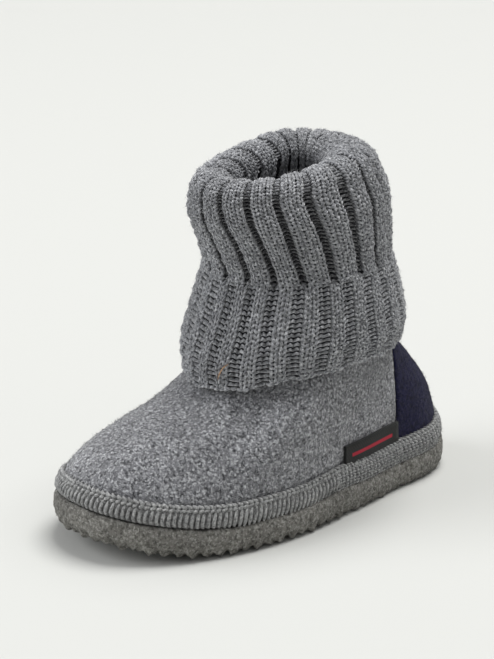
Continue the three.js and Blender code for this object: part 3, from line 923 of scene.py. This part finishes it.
cuffUpper = ribPatch("cuff_yarn_upper", "upper", rows["lower"] + starts["upper"], upperRows)
grooveRungs = stitchPatch("groove_rungs", upperRows, columns // upperStep, upperStep)
cuffUpper = joined("cuff_yarn_upper", [cuffUpper, grooveRungs])
finish(cuffUpper, materials["cuffYarn"], "grey_knit")
insideStart = rows["lower"] + rows["upper"] + rows["fold"] + starts["inside"]
cuffInside = ribPatch("cuff_yarn_inside", "upper", insideStart, rows["inside"] - 1)
finish(cuffInside, materials["cuffYarn"], "grey_knit")
print("cuff")


# Rand: a band round the foot, with whip stitches in front and a knitted edge behind

randBand = copyNode("rand", "rand_band")
remeshed(randBand, *rand["band"])
lumps(randBand, "bandGrain", *rand["grain"])
applyModifiers(randBand)
finish(randBand, materials["randBand"], "rand_knit", "rand")

whipPath = [(0.55, -0.9, -0.3, 0.7), (0.4, 0.5, 0.1, 1.0), (0.1, 2.2, 0.3, 1.1), (-0.2, 3.9, 0.2, 1.05),
            (-0.5, 5.2, -0.25, 0.85), (-0.65, 6.0, -1.1, 0.5)]
whip = yarnStitch("rand_stitches", whipPath, rand["radius"], 6)
alongRand(whip, rand["pitch"], lateralChange, medialChange)


def edgeRow(name, size, height, out, start, stop):  # a row of stitches that lie along the rand
    row = waleStitch(name, *size)
    points = readPoints(row)
    movePoints(row, np.stack([points[:, 1], points[:, 0] + height, points[:, 2] + out], axis=1))
    alongRand(row, rand["knitPitch"], start, stop)
    return row


edges = []
behind = medialChange - randLength
for number, height in enumerate(rand["edgeHeights"]):
    name = "edge" + str(number)
    edges.append(edgeRow(name, rand["edge"], height, rand["edgeOut"][number], behind, lateralChange))
ridge = edgeRow("ridge", rand["ridge"], rand["ridgeHeight"], rand["ridgeOut"], 0, randLength)
whip = joined("rand_stitches", [whip, *edges, ridge])
finish(whip, materials["randYarn"], "rand_knit")
print("rand", round(randLength, 1))


# Loose fibres that stand off the wool, as thin needles scattered over the finished pieces

fibre = {"radius": 0.075, "length": 1.0, "seed": 11, "turn": 3.1}

bpy.ops.object.select_all(action="DESELECT")
bpy.ops.mesh.primitive_cone_add(vertices=3, radius1=fibre["radius"] * mm, radius2=0,
                                depth=fibre["length"] * mm, end_fill_type="NOTHING",
                                location=(0, 0, fibre["length"] / 2 * mm))
needle = bpy.context.object
needle.name = "needle"
bpy.ops.object.transform_apply(location=True, rotation=True, scale=True)


def fibresOver(ground, name, count, seed, lengths, lean):
    area = sum(polygon.area for polygon in ground.data.polygons)
    tree = bpy.data.node_groups.new(name, "GeometryNodeTree")
    tree.interface.new_socket(name="Geometry", in_out="INPUT", socket_type="NodeSocketGeometry")
    tree.interface.new_socket(name="Geometry", in_out="OUTPUT", socket_type="NodeSocketGeometry")
    start = tree.nodes.new("NodeGroupInput")
    end = tree.nodes.new("NodeGroupOutput")
    scatter = tree.nodes.new("GeometryNodeDistributePointsOnFaces")
    scatter.inputs["Density"].default_value = count / area
    scatter.inputs["Seed"].default_value = seed
    lengthValue = tree.nodes.new("FunctionNodeRandomValue")
    lengthValue.data_type = "FLOAT"
    lengthValue.inputs[2].default_value = lengths[0]
    lengthValue.inputs[3].default_value = lengths[1]
    lengthValue.inputs["Seed"].default_value = seed + 1
    combine = tree.nodes.new("ShaderNodeCombineXYZ")
    combine.inputs["X"].default_value = 1
    combine.inputs["Y"].default_value = 1
    leanValue = tree.nodes.new("FunctionNodeRandomValue")
    leanValue.data_type = "FLOAT_VECTOR"
    leanValue.inputs[0].default_value = (-lean, -lean, -fibre["turn"])
    leanValue.inputs[1].default_value = (lean, lean, fibre["turn"])
    leanValue.inputs["Seed"].default_value = seed + 2
    toRotation = tree.nodes.new("FunctionNodeEulerToRotation")
    turn = tree.nodes.new("FunctionNodeRotateRotation")
    turn.rotation_space = "LOCAL"
    source = tree.nodes.new("GeometryNodeObjectInfo")
    source.inputs["Object"].default_value = needle
    place = tree.nodes.new("GeometryNodeInstanceOnPoints")
    realize = tree.nodes.new("GeometryNodeRealizeInstances")
    links = tree.links
    links.new(start.outputs["Geometry"], scatter.inputs["Mesh"])
    links.new(scatter.outputs["Points"], place.inputs["Points"])
    links.new(source.outputs["Geometry"], place.inputs["Instance"])
    links.new(leanValue.outputs[0], toRotation.inputs[0])
    links.new(scatter.outputs["Rotation"], turn.inputs["Rotation"])
    links.new(toRotation.outputs[0], turn.inputs["Rotate By"])
    links.new(turn.outputs[0], place.inputs["Rotation"])
    links.new(lengthValue.outputs[1], combine.inputs["Z"])
    links.new(combine.outputs[0], place.inputs["Scale"])
    links.new(place.outputs["Instances"], realize.inputs["Geometry"])
    links.new(realize.outputs["Geometry"], end.inputs["Geometry"])
    fibres = bpy.data.objects.new(name, ground.data.copy())
    bpy.context.scene.collection.objects.link(fibres)
    modifier = fibres.modifiers.new("scatter", "NODES")
    modifier.node_group = tree
    applyModifiers(fibres)
    return fibres


fibreSets = [  # lengths in millimetres; lean in radians, as far as it goes each way
    {"ground": feltUpper, "name": "felt_fibres", "count": 14000, "lengths": (0.5, 1.5), "lean": 1.25,
     "wool": "greyFelt", "slot": "grey_felt"},
    {"ground": navyPanel, "name": "navy_fibres", "count": 3000, "lengths": (0.4, 1.2), "lean": 1.25,
     "wool": "navyFelt", "slot": "navy_felt"},
    {"ground": cuffUpper, "name": "cuff_fibres_upper", "count": 15000, "lengths": (0.8, 2.6), "lean": 1.2,
     "wool": "cuffYarn", "slot": "grey_knit"},
    {"ground": cuffLower, "name": "cuff_fibres_lower", "count": 14000, "lengths": (0.8, 2.6), "lean": 1.2,
     "wool": "cuffYarn", "slot": "grey_knit"},
    {"ground": whip, "name": "rand_fibres", "count": 5000, "lengths": (0.4, 1.3), "lean": 1.25,
     "wool": "randYarn", "slot": "rand_knit"},
]
for number, fibreSet in enumerate(fibreSets):
    fibres = fibresOver(fibreSet["ground"], fibreSet["name"], fibreSet["count"], fibre["seed"] + number,
                        fibreSet["lengths"], fibreSet["lean"])
    finish(fibres, materials[fibreSet["wool"]], fibreSet["slot"])
bpy.data.objects.remove(needle)
print("fibres")
